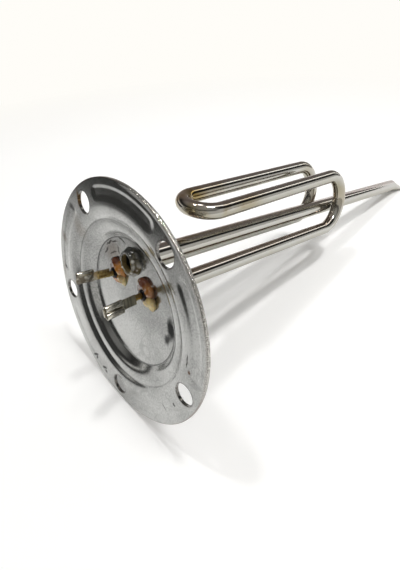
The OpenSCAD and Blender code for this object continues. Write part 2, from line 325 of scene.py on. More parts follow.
# Marks of the flange in mm: across, up, half sizes, turn in degrees, how
# sharp, how strong, and colour.  The first ones lie under the later ones.
FLANGE_MARKS = (
    (-16.0, 20.0, 9.0, 6.0, 30, 0.2, 0.35, "#6b5137"),
    (-19.0, 23.0, 3.6, 0.6, 40, 0.5, 0.9, "#1c1815"),
    (-14.5, 25.5, 3.2, 0.5, 20, 0.5, 0.9, "#211c18"),
    (-15.5, 19.5, 4.4, 0.45, 32, 0.5, 0.8, "#2e2620"),
    (-21.5, 18.0, 3.2, 0.5, 60, 0.5, 0.85, "#241f1b"),
    (-11.0, 22.5, 0.5, 2.6, 25, 0.5, 0.8, "#2a2420"),
    (-8.0, 28.5, 3.4, 0.5, -10, 0.5, 0.9, "#1c1815"),
    (28.6, 3.0, 3.0, 6.4, 8, 0.4, 0.98, "#090909"),
    (27.0, -3.5, 2.2, 3.6, -12, 0.3, 0.9, "#121110"),
    (-40.5, 34.0, 4.0, 2.4, 10, 0.2, 0.9, "#1c1a18"),
    (48.3, -2.0, 0.9, 1.5, 0, 0.3, 0.9, "#5b3a22"),
    (46.3, 2.6, 0.4, 3.4, 4, 0.6, 0.95, "#2a241f"),
    (-24.0, -46.5, 2.9, 0.8, 35, 0.6, 0.98, "#0b0a0a"),
    (-15.5, -50.0, 2.4, 0.9, 20, 0.6, 0.98, "#0b0a0a"),
    (-23.0, -48.2, 0.6, 1.5, 10, 0.6, 0.95, "#12100f"),
    (-13.8, -51.6, 1.4, 0.7, -30, 0.6, 0.9, "#1a1512"),
    (-34.2, 40.5, 1.1, 4.8, 8, 0.4, 0.85, "#80602f"),
    (36.0, -33.5, 2.2, 0.5, -50, 0.6, 0.8, "#2b2826"),
    (-36.0, 26.0, 5.0, 8.0, 20, 0.1, 0.3, "#7d6a52"),
    (12.0, 52.0, 6.0, 2.4, -15, 0.1, 0.35, "#2e2c2d"),
    (30.5, 44.8, 4.0, 1.6, -50, 0.2, 0.5, "#6d4a3a"),
    (42.0, -26.0, 0.7, 0.7, 0, 0.6, 0.95, "#1b1918"),
    (57.2, 1.5, 0.5, 1.8, 0, 0.6, 0.95, "#161413"),
    (-52.0, 14.0, 2.6, 5.0, 20, 0.15, 0.5, "#5d452c"),
    (-54.5, -6.0, 1.6, 6.0, 0, 0.15, 0.45, "#6b5538"),
    (6.0, 30.5, 9.0, 1.4, 0, 0.2, 0.5, "#3c362f"),
)


def pressed_stainless(colours, wear):
    """Cold-rolled stainless sheet after pressing.

    Satin, with a fine grain left by the rolls, cloudy darker patches where
    it was handled and heated, painted shade on the centre disc and in the
    corners of the bends, and a rough edge where it was sheared, with
    painted highlights on its upper right.
    """
    material, tree, where = new_material("pressed_stainless_sheet")
    # The grain is about 0.1 mm on the real sheet, and is drawn at 0.7 mm
    grain = add(tree, "TexNoise", {"Vector": where, "Scale": 1400, "Detail": 2})
    fine = add(tree, "TexNoise", {"Vector": where, "Scale": 3600, "Detail": 1})
    clouds = add(tree, "TexNoise", {"Vector": where, "Scale": 48, "Detail": 5})
    broad = add(tree, "TexNoise", {"Vector": where, "Scale": 17, "Detail": 2})
    tone = add(tree, "MapRange", {0: clouds, 1: 0.34, 2: 0.66, 3: 0.76, 4: 1.1})
    veil = add(tree, "MapRange", {0: broad, 1: 0.36, 2: 0.62, 3: 0.86, 4: 1.04})
    tone = add(tree, "Math", {0: tone, 1: veil}, operation="MULTIPLY")
    speckle = add(tree, "MapRange", {0: grain, 1: 0.3, 2: 0.7, 3: 0.72, 4: 1.2})
    tone = add(tree, "Math", {0: tone, 1: speckle}, operation="MULTIPLY")
    # Painted shade: the centre disc is drawn a tenth darker than the rim
    parts = add(tree, "SeparateXYZ", {0: where})
    parts = parts.node.outputs
    away = add(tree, "CombineXYZ", {"X": parts["X"], "Z": parts["Z"]})
    radius = add(tree, "VectorMath", {0: away}, out="Value", operation="LENGTH")
    disc = add(tree, "MapRange", {0: radius, 1: 0.030, 2: 0.033, 3: 0.9, 4: 1.0})
    tone = add(tree, "Math", {0: tone, 1: disc}, operation="MULTIPLY")
    # Painted shade darkens the two sharp corners of the bends, about 0.5 mm wide
    for bend, depth in ((0.0313, 0.75), (0.0401, 0.35)):
        corner = add(tree, "Math", {0: radius, 1: bend}, operation="SUBTRACT")
        corner = add(tree, "Math", {0: corner}, operation="ABSOLUTE")
        corner = add(
            tree, "MapRange", {0: corner, 1: 0.0001, 2: 0.0005, 3: 1 - depth, 4: 1.0}
        )
        tone = add(tree, "Math", {0: tone, 1: corner}, operation="MULTIPLY")
    # Hairline scratches, curved as a turning wire brush leaves them
    swirl = add(
        tree, "TexNoise", {"Vector": where, "Scale": 75, "Detail": 1, "Distortion": 0.6}
    )
    swirl = add(tree, "Math", {0: swirl, 1: 0.5}, operation="SUBTRACT")
    swirl = add(tree, "Math", {0: swirl}, operation="ABSOLUTE")
    hair = add(tree, "MapRange", {0: swirl, 1: 0.0, 2: 0.012, 3: 0.68, 4: 1.0})
    spread = add(tree, "MapRange", {0: grain, 1: 0.35, 2: 0.55, 3: 0.0, 4: 1.0})
    hair = add(tree, "Mix", {0: spread, 2: 1.0, 3: hair}, data_type="FLOAT")
    tone = add(tree, "Math", {0: tone, 1: hair}, operation="MULTIPLY")
    colour = add(
        tree,
        "Mix",
        {0: tone, 6: (0.012, 0.012, 0.012, 1), 7: colours.sheet},
        **IN_COLOUR,
    )
    rough = add(tree, "MapRange", {0: clouds, 1: 0.3, 2: 0.7, 3: 0.2, 4: 0.12})
    wobble = add(
        tree, "TexNoise", {"Vector": where, "Scale": 380, "Detail": 3}, out="Color"
    )
    wobble = add(
        tree, "VectorMath", {0: wobble, 1: (0.5, 0.5, 0.5)}, operation="SUBTRACT"
    )
    wobble = add(tree, "VectorMath", {0: wobble, 3: 0.0022}, operation="SCALE")
    torn = add(tree, "VectorMath", {0: where, 1: wobble}, operation="ADD")
    for x, z, half_x, half_z, angle, sharp, strength, mark in FLANGE_MARKS:
        local = add(
            tree,
            "Mapping",
            {
                "Vector": torn,
                "Location": (x * MM, 0, z * MM),
                "Rotation": (0, math.radians(-angle), 0),
                "Scale": (half_x * MM, 1, half_z * MM),
            },
            vector_type="TEXTURE",
        )
        parts = add(tree, "SeparateXYZ", {0: local}).node.outputs
        local = add(tree, "CombineXYZ", {"X": parts["X"], "Z": parts["Z"]})
        local = add(tree, "VectorMath", {0: local}, out="Value", operation="LENGTH")
        mask = add(
            tree,
            "MapRange",
            {0: local, 1: 1.2, 2: sharp, 3: 0.0, 4: strength * wear.stains},
            interpolation_type="SMOOTHSTEP",
        )
        colour = add(tree, "Mix", {0: mask, 6: colour, 7: linear(mark)}, **IN_COLOUR)
    # Punched walls of the fixing holes, browned and pitted
    nearest = 1.0
    for angle in HOLE_ANGLES:
        a = math.radians(angle)
        hole = Vector((math.cos(a), 0, math.sin(a))) * HOLE_CIRCLE_R * MM
        hole = add(
            tree, "VectorMath", {0: away, 1: hole}, out="Value", operation="DISTANCE"
        )
        nearest = add(tree, "Math", {0: nearest, 1: hole}, operation="MINIMUM")
    wall = add(
        tree,
        "MapRange",
        {0: nearest, 1: 0.0059, 2: 0.0052, 3: 0.0, 4: 0.92 * wear.stains},
    )
    pits = add(tree, "MapRange", {0: fine, 1: 0.4, 2: 0.62, 3: 1.0, 4: 0.25})
    wall = add(tree, "Math", {0: wall, 1: pits}, operation="MULTIPLY")
    colour = add(tree, "Mix", {0: wall, 6: colour, 7: linear("#352719")}, **IN_COLOUR)
    # Cut edge of the sheet, browned all round
    brown = add(tree, "MapRange", {0: radius, 1: 0.0569, 2: 0.0574, 3: 0.0, 4: 0.55})
    colour = add(tree, "Mix", {0: brown, 6: colour, 7: linear("#6f5546")}, **IN_COLOUR)
    # On the upper right the edge is torn, and painted highlights fleck it: near-white
    # spots on dark grey
    edge = add(tree, "MapRange", {0: radius, 1: 0.0558, 2: 0.0570, 3: 0.0, 4: 1.0})
    side = add(
        tree,
        "VectorMath",
        {0: away, 1: (0.77, 0, 0.64)},
        out="Value",
        operation="DOT_PRODUCT",
    )
    side = add(tree, "MapRange", {0: side, 1: 0.034, 2: 0.042, 3: 0.0, 4: 1.0})
    edge = add(tree, "Math", {0: edge, 1: side}, operation="MULTIPLY")
    edge_glints = add(tree, "MapRange", {0: fine, 1: 0.42, 2: 0.6, 3: 0.15, 4: 1.0})
    torn_edge_highlights = add(
        tree,
        "Mix",
        {0: edge_glints, 6: linear("#3d3a36"), 7: linear("#f2f0ea")},
        **IN_COLOUR,
    )
    colour = add(tree, "Mix", {0: edge, 6: colour, 7: torn_edge_highlights}, **IN_COLOUR)
    tear = add(tree, "Math", {0: fine, 1: edge}, operation="MULTIPLY")
    height = add(tree, "Math", {0: tear, 1: 36.0, 2: grain}, operation="MULTIPLY_ADD")
    normal = add(
        tree, "Bump", {"Height": height, "Distance": 0.000008, "Strength": 0.6}
    )
    surface(
        tree,
        {
            "Base Color": colour,
            "Metallic": 1.0,
            "Roughness": rough,
            "Normal": normal,
        },
    )
    return material


def drawn_tube(colours):
    """Bright drawn stainless tube.

    Nearly a mirror, so it shows the floor and the lamps as sharp stripes,
    with faint lengthways draw lines and a straw tint where it was annealed
    for bending.
    """
    material, tree, where = new_material("bright_drawn_tube")
    # Draw lines are a few hundredths of a millimetre apart, drawn at 0.4 mm
    along = add(tree, "Mapping", {"Vector": where, "Scale": (1, 0.02, 1)})
    lines = add(tree, "TexNoise", {"Vector": along, "Scale": 2500, "Detail": 3})
    clouds = add(tree, "TexNoise", {"Vector": where, "Scale": 60, "Detail": 3})
    parts = add(tree, "SeparateXYZ", {0: where}).node.outputs
    # The near bend, the far bends and the pinched end were heated
    near = add(tree, "MapRange", {0: parts["Y"], 1: 0.085, 2: 0.050, 3: 0.0, 4: 1.0})
    high = add(tree, "MapRange", {0: parts["Z"], 1: 0.035, 2: 0.040, 3: 0.0, 4: 1.0})
    near = add(tree, "Math", {0: near, 1: high}, operation="MULTIPLY")
    far = add(tree, "MapRange", {0: parts["Y"], 1: 0.143, 2: 0.165, 3: 0.0, 4: 0.3})
    pocket = add(tree, "MapRange", {0: parts["Y"], 1: 0.172, 2: 0.180, 3: 0.0, 4: 0.3})
    far = add(tree, "Math", {0: far, 1: pocket}, operation="SUBTRACT")
    heat = add(tree, "Math", {0: near, 1: far}, operation="MAXIMUM")
    patchy = add(tree, "MapRange", {0: clouds, 1: 0.38, 2: 0.62, 3: 0.1, 4: 0.95})
    heat = add(tree, "Math", {0: heat, 1: patchy}, operation="MULTIPLY")
    base = add(tree, "MapRange", {0: clouds, 1: 0.4, 2: 0.7, 3: 0.0, 4: 0.12})
    heat = add(tree, "Math", {0: heat, 1: base}, operation="ADD", use_clamp=True)
    colour = add(
        tree, "Mix", {0: heat, 6: colours.tube, 7: colours.heat_tint}, **IN_COLOUR
    )
    # Painted reflection: a warm brown along the upper side stands in for the room the
    # tube mirrors there; towards the tip it is stronger, where it is also a brown film
    facing = add(tree, "NewGeometry", out="Normal")
    upper = add(
        tree,
        "VectorMath",
        {0: facing, 1: (-0.45, 0, 0.89)},
        out="Value",
        operation="DOT_PRODUCT",
    )
    upper = add(tree, "MapRange", {0: upper, 1: 0.35, 2: 0.85, 3: 0.0, 4: 0.6})
    tip = add(tree, "MapRange", {0: parts["Y"], 1: 0.17, 2: 0.22, 3: 1.0, 4: 1.7})
    film = add(tree, "Math", {0: upper, 1: tip}, operation="MULTIPLY", use_clamp=True)
    colour = add(tree, "Mix", {0: film, 6: colour, 7: linear("#93705f")}, **IN_COLOUR)
    # Painted reflection: olive along the lower side stands in for the shaded floor the
    # tube mirrors there
    lower = add(
        tree,
        "VectorMath",
        {0: facing, 1: (0.35, 0, -0.94)},
        out="Value",
        operation="DOT_PRODUCT",
    )
    lower = add(tree, "MapRange", {0: lower, 1: 0.1, 2: 0.7, 3: 0.0, 4: 0.5})
    colour = add(tree, "Mix", {0: lower, 6: colour, 7: linear("#85805f")}, **IN_COLOUR)
    rough = add(tree, "MapRange", {0: lines, 1: 0.3, 2: 0.7, 3: 0.08, 4: 0.13})
    normal = add(tree, "Bump", {"Height": lines, "Distance": 0.000004, "Strength": 0.3})
    surface(
        tree,
        {
            "Base Color": colour,
            "Metallic": 1.0,
            "Roughness": rough,
            "Normal": normal,
        },
    )
    return material


def bore_deposit():
    """Brown residue of the brazing flux on the wall of the bore.

    Matt and uneven, so it is lit where clean metal would look black, and
    painted black deeper in, as shade inside the bore.
    """
    material, tree, where = new_material("bore_residue")
    patches = add(tree, "TexNoise", {"Vector": where, "Scale": 420, "Detail": 4})
    colour = add(
        tree,
        "Mix",
        {0: patches, 6: linear("#5a4a2c"), 7: linear("#9c8a5e")},
        **IN_COLOUR,
    )
    # Painted shade: past the first 3 mm the wall is drawn black, for the shade deep in
    # the bore
    depth = add(tree, "SeparateXYZ", {0: where}, out="Y")
    drift = add(tree, "Math", {0: patches, 1: 0.0015}, operation="MULTIPLY")
    depth = add(tree, "Math", {0: depth, 1: drift}, operation="ADD")
    burnt = add(tree, "MapRange", {0: depth, 1: 0.0062, 2: 0.0068, 3: 0.0, 4: 1.0})
    colour = add(tree, "Mix", {0: burnt, 6: colour, 7: linear("#050404")}, **IN_COLOUR)
    normal = add(tree, "Bump", {"Height": patches, "Distance": 0.0002, "Strength": 0.6})
    surface(tree, {"Base Color": colour, "Roughness": 0.45, "Normal": normal})
    return material


def weld_bead():
    """Stainless welded by an arc, left as it froze.

    Rippled and dull, with blue and straw heat colours over grey.
    """
    material, tree, where = new_material("arc_weld_bead")
    ripples = add(
        tree,
        "TexWave",
        {"Vector": where, "Scale": 260, "Distortion": 3, "Detail": 2},
        bands_direction="X",
    )
    patches = add(tree, "TexNoise", {"Vector": where, "Scale": 320, "Detail": 2})
    tint = add(tree, "MapRange", {0: patches, 1: 0.35, 2: 0.65, 3: 0.0, 4: 1.0})
    colour = add(
        tree, "Mix", {0: tint, 6: linear("#77726b"), 7: linear("#a08a63")}, **IN_COLOUR
    )
    normal = add(tree, "Bump", {"Height": ripples, "Distance": 0.0001, "Strength": 0.7})
    rough = add(tree, "MapRange", {0: patches, 1: 0.3, 2: 0.7, 3: 0.25, 4: 0.45})
    surface(
        tree,
        {
            "Base Color": colour,
            "Metallic": 1.0,
            "Roughness": rough,
            "Normal": normal,
        },
    )
    return material


def braze_metal():
    """Silver brazing alloy that flowed into the corner and froze.

    Smooth and a little yellow, with dull islands of burnt flux.
    """
    material, tree, where = new_material("silver_braze")
    flux = add(tree, "TexNoise", {"Vector": where, "Scale": 380, "Detail": 4})
    share = add(tree, "MapRange", {0: flux, 1: 0.48, 2: 0.6, 3: 0.0, 4: 1.0})
    colour = add(
        tree, "Mix", {0: share, 6: linear("#b9b294"), 7: linear("#5c5138")}, **IN_COLOUR
    )
    rough = add(tree, "MapRange", {0: share, 3: 0.22, 4: 0.55})
    normal = add(tree, "Bump", {"Height": flux, "Distance": 0.0002, "Strength": 0.5})
    surface(
        tree,
        {
            "Base Color": colour,
            "Metallic": 1.0,
            "Roughness": rough,
            "Normal": normal,
        },
    )
    return material


def flux_glass():
    """Borax flux that melted over dark brazing metal and set as glass.

    Olive and slate under a clear glossy skin, paler and khaki low down where
    the glass is thick, with a few painted highlights as near-white spots.
    """
    material, tree, where = new_material("fused_flux_glass")
    clouds = add(tree, "TexNoise", {"Vector": where, "Scale": 300, "Detail": 3})
    low = add(tree, "SeparateXYZ", {0: where}, out="Z")
    low = add(tree, "MapRange", {0: low, 1: 0.0275, 2: 0.0165, 3: 0.0, 4: 1.0})
    shift = add(tree, "MapRange", {0: clouds, 1: 0.3, 2: 0.7, 3: -0.4, 4: 0.4})
    low = add(tree, "Math", {0: low, 1: shift}, operation="ADD", use_clamp=True)
    colour = add(
        tree, "Mix", {0: low, 6: linear("#1d1e1b"), 7: linear("#7b7255")}, **IN_COLOUR
    )
    # Painted highlights: near-white spots of 0.3 to 0.8 mm, by their place over the
    # bore
    for x, y, z, r in (
        (4.6, 3.4, 24.8, 0.45),
        (5.1, 3.6, 22.6, 0.4),
        (4.4, 3.2, 19.4, 0.3),
        (5.9, 4.9, 20.6, 0.3),
        (1.6, 3.3, 17.2, 0.35),
        (-3.0, 3.4, 18.6, 0.3),
    ):
        glint_spot = add(
            tree,
            "VectorMath",
            {0: where, 1: (x * MM, y * MM, z * MM)},
            out="Value",
            operation="DISTANCE",
        )
        glint_spot = add(
            tree,
            "MapRange",
            {0: glint_spot, 1: 2.2 * r * MM, 2: 0.8 * r * MM, 3: 0.0, 4: 0.9},
        )
        colour = add(
            tree, "Mix", {0: glint_spot, 6: colour, 7: linear("#fbf8ee")}, **IN_COLOUR
        )
    normal = add(tree, "Bump", {"Height": clouds, "Distance": 0.0005, "Strength": 0.4})
    surface(
        tree,
        {
            "Base Color": colour,
            "Roughness": 0.1,
            "IOR": 1.6,
            "Coat Weight": 1.0,
            "Coat IOR": 1.8,
            "Coat Roughness": 0.06,
            "Normal": normal,
        },
    )
    return material


def amber_resin(colours):
    """Cured potting resin, poured and left to set.

    Clear amber over dark sheath ends: red-brown where it is thick, golden
    where light gets through it, with a wet gloss and painted highlights as pale spots.
    """
    material, tree, where = new_material("poured_amber_resin")
    clouds = add(tree, "TexNoise", {"Vector": where, "Scale": 260, "Detail": 3})
    parts = add(tree, "SeparateXYZ", {0: where}).node.outputs
    # Each seal is darkest over its top and clears towards its lower right
    left = add(tree, "Math", {0: parts["X"], 1: 0.0}, operation="LESS_THAN")
    shift = add(tree, "Math", {0: left, 1: 0.0224}, operation="MULTIPLY")
    local = add(tree, "Math", {0: parts["X"], 1: shift}, operation="ADD")
    slope = add(tree, "Math", {0: local, 1: parts["Z"]}, operation="SUBTRACT")
    thin = add(tree, "MapRange", {0: slope, 1: -0.0065, 2: 0.001, 3: 0.0, 4: 1.0})
    drift = add(tree, "MapRange", {0: clouds, 1: 0.3, 2: 0.7, 3: -0.45, 4: 0.45})
    # The right seal is browner than the left one
    amber = add(
        tree, "Mix", {0: left, 6: linear("#9c642a"), 7: colours.resin}, **IN_COLOUR
    )
    thin = add(tree, "Math", {0: thin, 1: drift}, operation="ADD", use_clamp=True)
    colour = add(tree, "Mix", {0: thin, 6: linear("#66341a"), 7: amber}, **IN_COLOUR)
    # Painted highlights: pale glint spots, more on the left seal and where the resin is
    # thin
    resin_glint = add(tree, "TexNoise", {"Vector": where, "Scale": 750, "Detail": 1})
    resin_glint = add(tree, "MapRange", {0: resin_glint, 1: 0.58, 2: 0.68, 3: 0.0, 4: 0.9})
    clear = add(tree, "MapRange", {0: left, 3: 0.25, 4: 1.0})
    resin_glint = add(tree, "Math", {0: resin_glint, 1: clear}, operation="MULTIPLY")
    resin_glint = add(tree, "Math", {0: resin_glint, 1: thin}, operation="MULTIPLY")
    colour = add(tree, "Mix", {0: resin_glint, 6: colour, 7: linear("#e6c68a")}, **IN_COLOUR)
    normal = add(tree, "Bump", {"Height": clouds, "Distance": 0.0012, "Strength": 0.6})
    surface(
        tree,
        {
            "Base Color": colour,
            "Roughness": 0.14,
            "IOR": 1.56,
            "Subsurface Weight": 0.08,
            "Subsurface Radius": (1.0, 0.45, 0.15),
            "Subsurface Scale": 0.001,
            "Coat Weight": 1.0,
            "Coat Roughness": 0.05,
            "Normal": normal,
        },
    )
    return material


def cream_resin(colours):
    """Filled resin that ran down before it set.

    Waxy cream, browner near the seal it came from and translucent at its
    thin edges.
    """
    material, tree, where = new_material("run_cream_resin")
    clouds = add(tree, "TexNoise", {"Vector": where, "Scale": 330, "Detail": 4})
    low = add(tree, "SeparateXYZ", {0: where}, out="Z")
    near = add(tree, "MapRange", {0: low, 1: 0.008, 2: 0.0125, 3: 0.0, 4: 0.7})
    drift = add(tree, "MapRange", {0: clouds, 1: 0.3, 2: 0.7, 3: -0.3, 4: 0.4})
    near = add(tree, "Math", {0: near, 1: drift}, operation="ADD", use_clamp=True)
    colour = add(
        tree, "Mix", {0: near, 6: colours.run, 7: linear("#7d5a2c")}, **IN_COLOUR
    )
    normal = add(tree, "Bump", {"Height": clouds, "Distance": 0.0004, "Strength": 0.4})
    surface(
        tree,
        {
            "Base Color": colour,
            "Roughness": 0.3,
            "IOR": 1.52,
            "Subsurface Weight": 0.5,
            "Subsurface Radius": (1.0, 0.7, 0.35),
            "Subsurface Scale": 0.0015,
            "Coat Weight": 0.4,
            "Coat Roughness": 0.1,
            "Normal": normal,
        },
    )
    return material


def black_bush():
    """Moulded phenolic bush, wetted by the resin that was poured round it.

    Nearly black with a violet cast, glossy, with soft dust on its top.
    """
    material, tree, where = new_material("moulded_black_bush")
    dust = add(tree, "TexNoise", {"Vector": where, "Scale": 700, "Detail": 3})
    share = add(tree, "MapRange", {0: dust, 1: 0.5, 2: 0.75, 3: 0.0, 4: 0.4})
    colour = add(
        tree, "Mix", {0: share, 6: linear("#0b080b"), 7: linear("#2c2222")}, **IN_COLOUR
    )
    rough = add(tree, "MapRange", {0: dust, 1: 0.3, 2: 0.7, 3: 0.08, 4: 0.22})
    normal = add(tree, "Bump", {"Height": dust, "Distance": 0.0002, "Strength": 0.4})
    surface(
        tree,
        {
            "Base Color": colour,
            "Roughness": rough,
            "IOR": 1.42,
            "Specular IOR Level": 0.3,
            "Normal": normal,
        },
    )
    return material


def dull_brass():
    """Drawn brass rod, gone dull in air.

    Soft gold with faint rings from drawing and brown tarnish in patches.
    """
    material, tree, where = new_material("drawn_brass_pin")
    tarnish = add(tree, "TexNoise", {"Vector": where, "Scale": 500, "Detail": 3})
    share = add(tree, "MapRange", {0: tarnish, 1: 0.4, 2: 0.7, 3: 0.0, 4: 0.8})
    colour = add(
        tree, "Mix", {0: share, 6: linear("#b7a26c"), 7: linear("#6b5630")}, **IN_COLOUR
    )
    rough = add(tree, "MapRange", {0: tarnish, 1: 0.3, 2: 0.7, 3: 0.2, 4: 0.42})
    surface(tree, {"Base Color": colour, "Metallic": 1.0, "Roughness": rough})
    return material


def tin_plate(name, colours, stem_from, stem_colour, film_share):
    """Brass sheet plated with tin, then stamped and rolled.

    Smooth and bright on the rolls, tarnished along the stem, where the heat
    of welding took the shine off.  stem_from is where the stem begins, and
    film_share how much of the head a brown film covers.
    """
    material, tree, where = new_material(name)
    clouds = add(tree, "TexNoise", {"Vector": where, "Scale": 320, "Detail": 3})
    along = add(tree, "SeparateXYZ", {0: where}, out="Y")
    stem = add(
        tree,
        "MapRange",
        {0: along, 1: stem_from - 0.6 * MM, 2: stem_from + 0.4 * MM, 3: 0.0, 4: 1.0},
    )
    # Rolling marks across the strip, about 0.5 mm apart
    bands = add(tree, "Mapping", {"Vector": where, "Scale": (0.1, 1, 0.1)})
    bands = add(tree, "TexNoise", {"Vector": bands, "Scale": 1100, "Detail": 2})
    shade = add(tree, "MapRange", {0: bands, 1: 0.35, 2: 0.65, 3: 0.45, 4: 1.0})
    tail = add(
        tree,
        "Mix",
        {0: shade, 6: linear("#5f5848"), 7: linear(stem_colour)},
        **IN_COLOUR,
    )
    film = add(tree, "MapRange", {0: clouds, 1: 0.36, 2: 0.56, 3: 0.0, 4: film_share})
    head = add(
        tree, "Mix", {0: film, 6: colours.plate, 7: linear("#5d5445")}, **IN_COLOUR
    )
    colour = add(tree, "Mix", {0: stem, 6: head, 7: tail}, **IN_COLOUR)
    share = add(tree, "Math", {0: stem, 1: film}, operation="MAXIMUM")
    rough = add(tree, "MapRange", {0: share, 3: 0.16, 4: 0.32})
    surface(tree, {"Base Color": colour, "Metallic": 1.0, "Roughness": rough})
    return material


def packed_powder():
    """Magnesia powder, packed hard round the winding by swaging.

    Chalky off-white, fully matt, with a fine grain.
    """
    material, tree, where = new_material("swaged_magnesia_powder")
    grain = add(tree, "TexNoise", {"Vector": where, "Scale": 2600, "Detail": 2})
    colour = add(
        tree, "Mix", {0: grain, 6: linear("#d8d2c4"), 7: linear("#f4f1ea")}, **IN_COLOUR
    )
    normal = add(tree, "Bump", {"Height": grain, "Distance": 0.0001, "Strength": 0.6})
    surface(tree, {"Base Color": colour, "Roughness": 0.92, "Normal": normal})
    return material


def winding_wire():
    """Nickel-chrome resistance wire, drawn and wound.

    Grey and oxidised, with the turns of the winding as fine rings.
    """
    material, tree, where = new_material("wound_resistance_wire")
    # The turns are 0.5 mm apart
    turns = add(
        tree,
        "TexWave",
        {"Vector": where, "Scale": 320, "Distortion": 0.4},
        bands_direction="Y",
    )
    colour = add(
        tree, "Mix", {0: turns, 6: linear("#4b4d50"), 7: linear("#a4a7aa")}, **IN_COLOUR
    )
    normal = add(tree, "Bump", {"Height": turns, "Distance": 0.0002, "Strength": 0.8})
    surface(
        tree,
        {
            "Base Color": colour,
            "Metallic": 1.0,
            "Roughness": 0.38,
            "Normal": normal,
        },
    )
    return material


# ------------------------------------------------------------------- flange

RIM_R = 57.5
# Radius and depth of each bend of the section, and how far it is rounded
BENDS = ((31.6, 6.6, 0.3), (35.6, 2.1, 3.3), (40.2, 2.1, 0.4), (43.2, 0.0, 2.6))
HOLE_ANGLES = (54, 126, 198, 270, 342)
HOLE_CIRCLE_R, HOLE_R = 49.5, 5.0
BEAD_R, BEAD_HALF_ANGLE = 51.0, 20.9
# Where the first bead's middle lies and the step to the next, in degrees
FIRST_BEAD, BEAD_STEP = 18, 72
SHEET_T = 1.5


def from_bead(x, z, line_r):
    """Distance in mm from the nearest bead's line of radius line_r."""
    angle = (math.degrees(math.atan2(z, x)) - FIRST_BEAD) % BEAD_STEP
    angle = min(angle, BEAD_STEP - angle)
    past = math.radians(max(angle - BEAD_HALF_ANGLE, 0))
    r = math.hypot(x, z)
    return math.hypot(r * math.cos(past) - line_r, r * math.sin(past))


def spool(x, z, radius):
    """A cutter for a hole whose edges are broken on both faces."""
    axis = Vector((0, 1, 0))
    centre = Vector((x, 0, z)) * MM
    y = DISC_DEPTH if math.hypot(x, z) < BENDS[0][0] else 0.0
    profile = [
        (radius + 1.2, y - 1.0),
        (radius, y + 0.2),
        (radius, y + 1.3),
        (radius + 1.2, y + 2.5),
    ]
    first = centre + axis * (profile[0][1] * MM)
    obj = ring("spool", 72, profile[0][0] * MM, first, "NGON")
    turn(centre, axis, profile)
    close_mesh()
    return obj


def press_flange(material, depth_mm):
    axis = Vector((0, 1, 0))
    centre = Vector((0, 0, 0))
    profile = [(r, y) for r, y, rounding in BENDS]
    profile += [(46.5 + 0.5 * i, 0.0) for i in range(22)] + [(RIM_R, 0.0)]
    obj = ring("flange_pressed", 360, profile[0][0] * MM, axis * (profile[0][1] * MM))
    turn(centre, axis, profile)

    def on_ring(edge, r, y):
        return all(
            abs(math.hypot(v.co.x, v.co.z) / MM - r) < 0.02
            and abs(v.co.y / MM - y) < 0.02
            for v in edge.verts
        )

    # The disc, a little inside its bend, so the bend can be rounded
    disc_r, disc_y, rounding = BENDS[0]
    pick("EDGE", lambda e: on_ring(e, disc_r, disc_y))
    push((0, 0, 0), (30.9 / disc_r,) * 3, axis * (disc_y * MM))
    bpy.ops.mesh.edge_face_add()
    for r, y, rounding in BENDS:
        pick("EDGE", lambda e: on_ring(e, r, y))
        bpy.ops.mesh.bevel(
            offset=rounding * MM,
            segments=4 if rounding < 1 else 8,
            affect="EDGES",
            offset_type="OFFSET",
        )
    # The press goes down in small strokes, each narrower and a little
    # further out, so a bead's inner wall is the wider one
    strokes = 16
    for i in range(strokes):
        share = (i + 0.5) / strokes
        share = 0.5 - math.sin(math.asin(1 - 2 * share) / 3)
        inside, line_r = 3.3 - 1.8 * share, BEAD_R + 0.8 * share
        pick(
            "VERT",
            lambda v: math.hypot(v.co.x, v.co.z) > 44 * MM
            and from_bead(v.co.x / MM, v.co.z / MM, line_r) < inside,
        )
        bpy.ops.transform.translate(value=(0, depth_mm / strokes * MM, 0))
    close_mesh()
    if obj.data.polygons[0].normal.y > 0:
        obj.data.flip_normals()
    modify(obj, "SOLIDIFY", thickness=SHEET_T * MM, offset=-1, use_even_offset=True)
    modify(
        obj,
        "BEVEL",
        width=0.25 * MM,
        segments=2,
        limit_method="ANGLE",
        angle_limit=math.radians(60),
    )
    for angle in HOLE_ANGLES:
        a = math.radians(angle)
        x, z = HOLE_CIRCLE_R * math.cos(a), HOLE_CIRCLE_R * math.sin(a)
        cut(obj, spool(x, z, HOLE_R))
    for x, z, radius in (
        (-LEG_X, LEG_Z, SHEATH_R),
        (LEG_X, LEG_Z, SHEATH_R),
        (0, POCKET_Z, POCKET_R),
    ):
        cut(obj, spool(x, z, radius))
    done(obj, material, "pressed_steel", "flange", sharp=30)


# -------------------------------------------------------------------- tubes

LEG_X, LEG_Z, LEG_REACH = 11.2, 11.4, 153.0
SHEATH_R, SHEATH_WALL = 4.0, 0.7
FAR_BEND_R, LEAN, OVER_BEND, NEAR_BEND_Y = 17.1, 10.0, 3.0, 52.7
SHEATH_START = 5.2


def spin(centre, axis, degrees, steps):
    """Extrudes the selected edges round an axis, by the right hand."""
    bpy.ops.mesh.spin(
        steps=steps,
        angle=-math.radians(degrees),
        center=centre * MM,
        axis=axis,
        use_auto_merge=False,
    )


